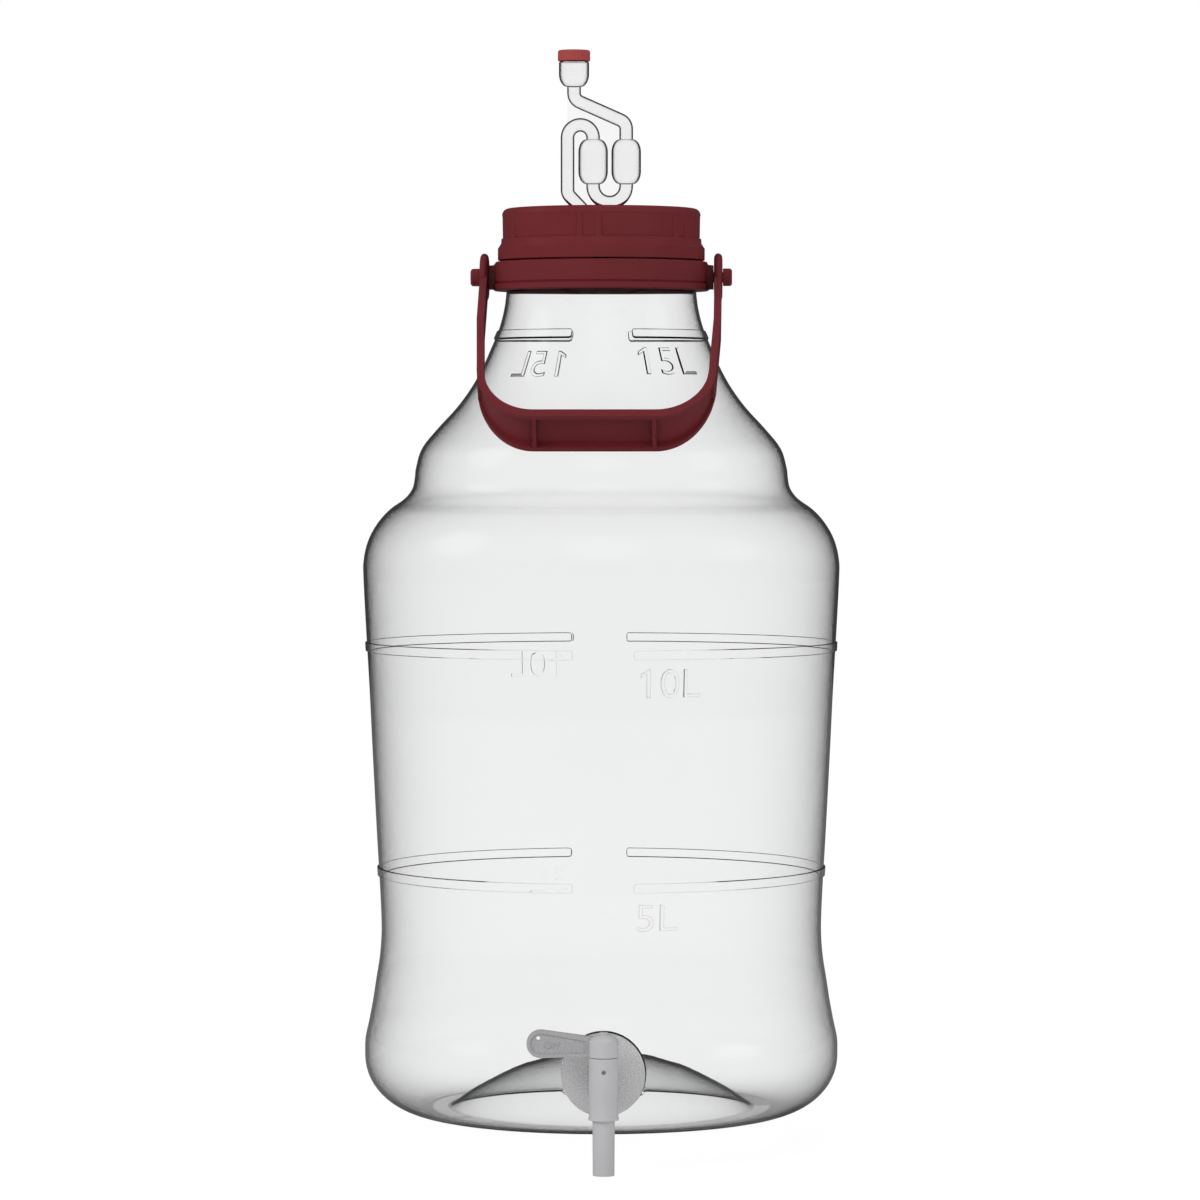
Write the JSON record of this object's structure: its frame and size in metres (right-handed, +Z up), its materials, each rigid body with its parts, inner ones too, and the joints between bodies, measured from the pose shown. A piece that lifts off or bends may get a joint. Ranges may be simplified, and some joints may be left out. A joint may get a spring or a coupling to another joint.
{
  "type": "plastic demijohn with airlock",
  "caption": "Clear plastic demijohn with a screw lid, an S-shaped airlock, a swing carrying handle and a lever tap near its base.",
  "frame": {"origin": "bottom centre of the bounding box at rest, so z = 0 is the tip of the spout; the bottle's axis is 13.35 mm behind it, and its standing ring is at z = 13.3 mm", "axes": "+Z up along the bottle's axis; the tap faces -Y and the tap's lever lies towards -X"},
  "size_m": [0.2466, 0.2732, 0.5631],
  "materials": {
    "clear_pet": "clear, glossy",
    "clear_acrylic": "clear, glossy",
    "dark_red_plastic": "moulded, satin",
    "bright_red_plastic": "moulded, satin",
    "grey_plastic": "moulded, satin",
    "black_rubber": "matte",
    "white_foam": "soft foam"
  },
  "bodies": {
    "container": {"bottle": "clear_pet", "tap_body": "grey_plastic", "tap_outer_gasket": "black_rubber", "tap_inner_gasket": "black_rubber", "tap_nut": "grey_plastic"},
    "lid_liner": {"lid_gasket": "white_foam"},
    "lid": {"lid": "dark_red_plastic", "airlock_grommet": "black_rubber"},
    "airlock": {"airlock": "clear_acrylic"},
    "airlock_cap": {"airlock_cap": "bright_red_plastic"},
    "collar": {"handle_collar": "dark_red_plastic"},
    "handle": {"handle": "dark_red_plastic"},
    "tap_valve": {"tap_valve": "grey_plastic", "tap_oring_upper": "black_rubber", "tap_oring_lower": "black_rubber"}
  },
  "joints": [
    {"name": "lid_lift", "type": "slide", "parent": "container", "child": "lid_liner", "axis": [0, 0, 1], "range_m": [0, 0.06]},
    {"name": "lid_turn", "type": "hinge", "parent": "lid_liner", "child": "lid", "pos_m": [0, 0.01335, 0.4763], "axis": [0, 0, 1], "continuous": true},
    {"name": "airlock_pull", "type": "slide", "parent": "lid", "child": "airlock", "axis": [0, 0, 1], "range_m": [0, 0.04]},
    {"name": "cap_lift", "type": "slide", "parent": "airlock", "child": "airlock_cap", "axis": [0, 0, 1], "range_m": [0, 0.01]},
    {"name": "collar_swivel", "type": "hinge", "parent": "container", "child": "collar", "pos_m": [0, 0.01335, 0.446], "axis": [0, 0, 1], "continuous": true},
    {"name": "handle_swing", "type": "hinge", "parent": "collar", "child": "handle", "pos_m": [0, 0.01335, 0.446], "axis": [-0.9991, 0.0419, 0], "range_deg": [0, 255]},
    {"name": "tap_turn", "type": "hinge", "parent": "container", "child": "tap_valve", "pos_m": [0, -0.12915, 0.0478], "axis": [0, 0, 1], "range_deg": [0, 90]}
  ]
}
